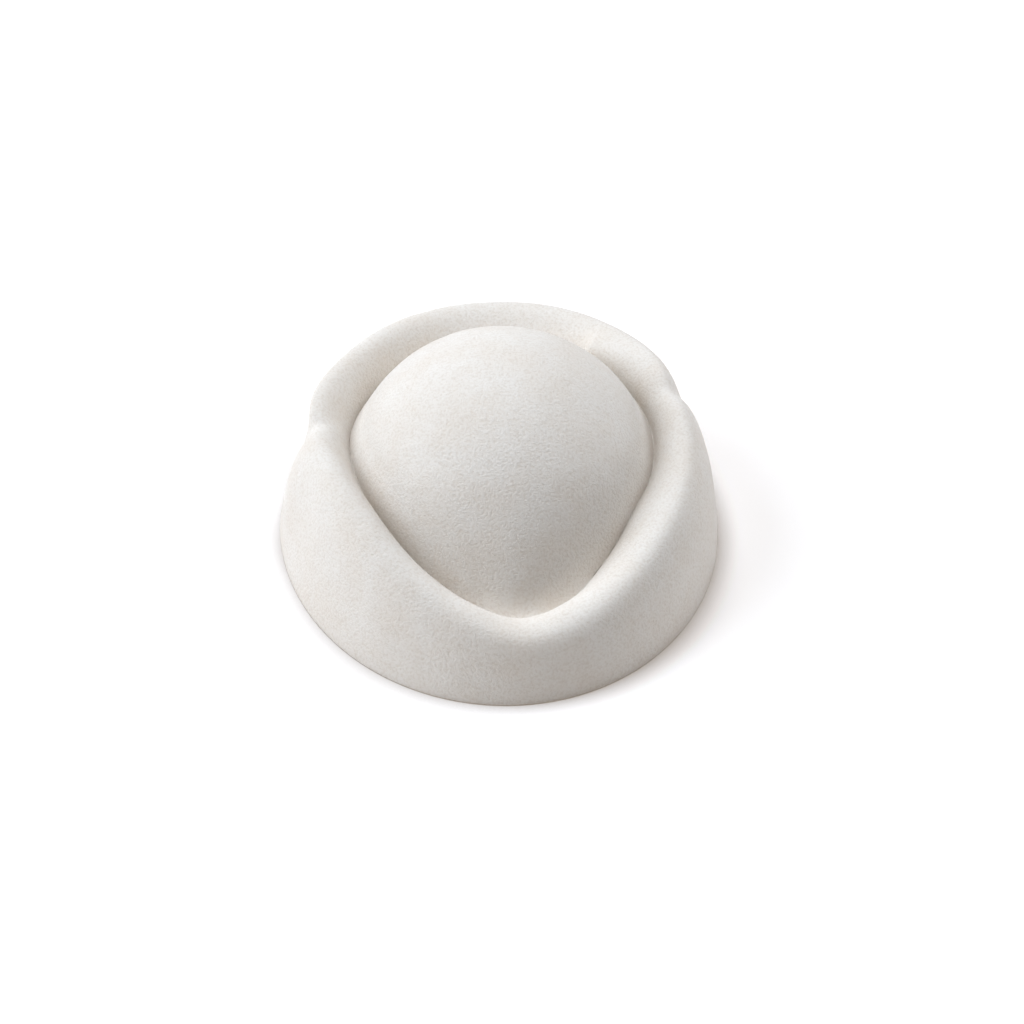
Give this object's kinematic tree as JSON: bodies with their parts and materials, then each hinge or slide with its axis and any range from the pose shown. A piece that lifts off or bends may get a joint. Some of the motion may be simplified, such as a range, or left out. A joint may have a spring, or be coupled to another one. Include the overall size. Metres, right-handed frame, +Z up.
{
  "type": "felt hat",
  "caption": "Cream wool felt hat with a round crown set in a turned-up rolled rim that dips to a point at the front.",
  "frame": {"origin": "middle of the oval base, on the surface that the hat stands on", "axes": "+Z up, the front with the dip in the rim towards -Y, +X to the right of someone facing the front"},
  "size_m": [0.1718, 0.2036, 0.0774],
  "materials": {
    "felt": "matte"
  },
  "bodies": {
    "root": {"felt_body": "felt"}
  },
  "joints": []
}
